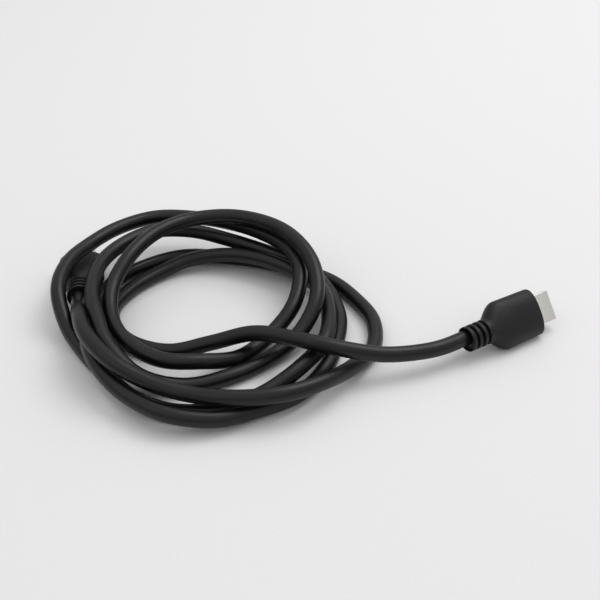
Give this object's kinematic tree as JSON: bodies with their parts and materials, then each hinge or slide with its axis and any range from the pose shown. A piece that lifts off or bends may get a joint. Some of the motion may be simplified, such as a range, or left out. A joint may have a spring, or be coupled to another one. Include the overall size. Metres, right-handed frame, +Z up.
{
  "type": "hdmi cable",
  "caption": "Round flexible audio and video cord lying in loose overlapping turns, with a moulded plug and a bare metal shell at each end.",
  "frame": {"origin": "on the floor that the lead lies on, under the middle of its bounding box", "axes": "+Z up from the floor, +X to the right and +Y away, as the picture looks at it"},
  "size_m": [0.2362, 0.1489, 0.0307],
  "materials": {
    "jacket": "satin black flexible PVC",
    "overmould": "satin grey-black moulded PVC",
    "shell": "plain nickel plate",
    "carrier": "smooth black moulding",
    "contacts": "gold flash"
  },
  "bodies": {
    "root": {"cord": "jacket", "far_plug_contact_carrier": "carrier", "far_plug_lower_contact_1": "contacts", "far_plug_lower_contact_2": "contacts", "far_plug_lower_contact_3": "contacts", "far_plug_lower_contact_4": "contacts", "far_plug_lower_contact_5": "contacts", "far_plug_lower_contact_6": "contacts", "far_plug_lower_contact_7": "contacts", "far_plug_lower_contact_8": "contacts", "far_plug_lower_contact_9": "contacts", "far_plug_overmould": "overmould", "far_plug_shell": "shell", "far_plug_upper_contact_1": "contacts", "far_plug_upper_contact_10": "contacts", "far_plug_upper_contact_2": "contacts", "far_plug_upper_contact_3": "contacts", "far_plug_upper_contact_4": "contacts", "far_plug_upper_contact_5": "contacts", "far_plug_upper_contact_6": "contacts", "far_plug_upper_contact_7": "contacts", "far_plug_upper_contact_8": "contacts", "far_plug_upper_contact_9": "contacts", "near_plug_contact_carrier": "carrier", "near_plug_lower_contact_1": "contacts", "near_plug_lower_contact_2": "contacts", "near_plug_lower_contact_3": "contacts", "near_plug_lower_contact_4": "contacts", "near_plug_lower_contact_5": "contacts", "near_plug_lower_contact_6": "contacts", "near_plug_lower_contact_7": "contacts", "near_plug_lower_contact_8": "contacts", "near_plug_lower_contact_9": "contacts", "near_plug_overmould": "overmould", "near_plug_shell": "shell", "near_plug_upper_contact_1": "contacts", "near_plug_upper_contact_10": "contacts", "near_plug_upper_contact_2": "contacts", "near_plug_upper_contact_3": "contacts", "near_plug_upper_contact_4": "contacts", "near_plug_upper_contact_5": "contacts", "near_plug_upper_contact_6": "contacts", "near_plug_upper_contact_7": "contacts", "near_plug_upper_contact_8": "contacts", "near_plug_upper_contact_9": "contacts"}
  },
  "joints": []
}
